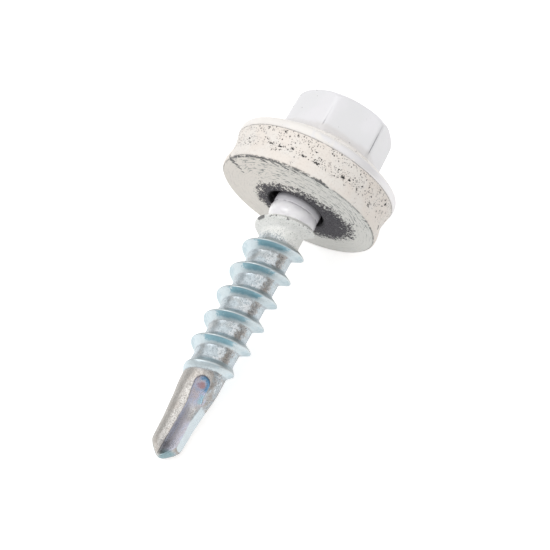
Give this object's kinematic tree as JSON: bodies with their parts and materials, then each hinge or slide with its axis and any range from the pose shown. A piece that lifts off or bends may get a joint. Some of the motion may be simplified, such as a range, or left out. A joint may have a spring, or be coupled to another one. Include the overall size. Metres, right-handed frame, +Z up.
{
  "type": "self-drilling screw with sealing washer",
  "caption": "Hexagon washer head self-drilling screw with a coarse right-hand thread, a fluted drill point and a captive bonded sealing washer.",
  "frame": {"origin": "centre of the bounding box, on the surface that the screw lies on", "axes": "+Z up, +X along the screw towards the drill point, seen from above"},
  "size_m": [0.0334, 0.0142, 0.0144],
  "materials": {
    "screw_steel": "zinc plated, head and neck painted white",
    "painted_steel": "gloss white paint",
    "seal_rubber": "dark rubber under worn cream overspray"
  },
  "bodies": {
    "screw": {"screw": "screw_steel"},
    "washer": {"steel_washer": "painted_steel", "sealing_washer": "seal_rubber"}
  },
  "joints": [
    {"name": "washer_spin", "type": "hinge", "parent": "screw", "child": "washer", "pos_m": [-0.00722, 0, 0.00672], "axis": [0.9722, 0, -0.2342], "continuous": true}
  ]
}
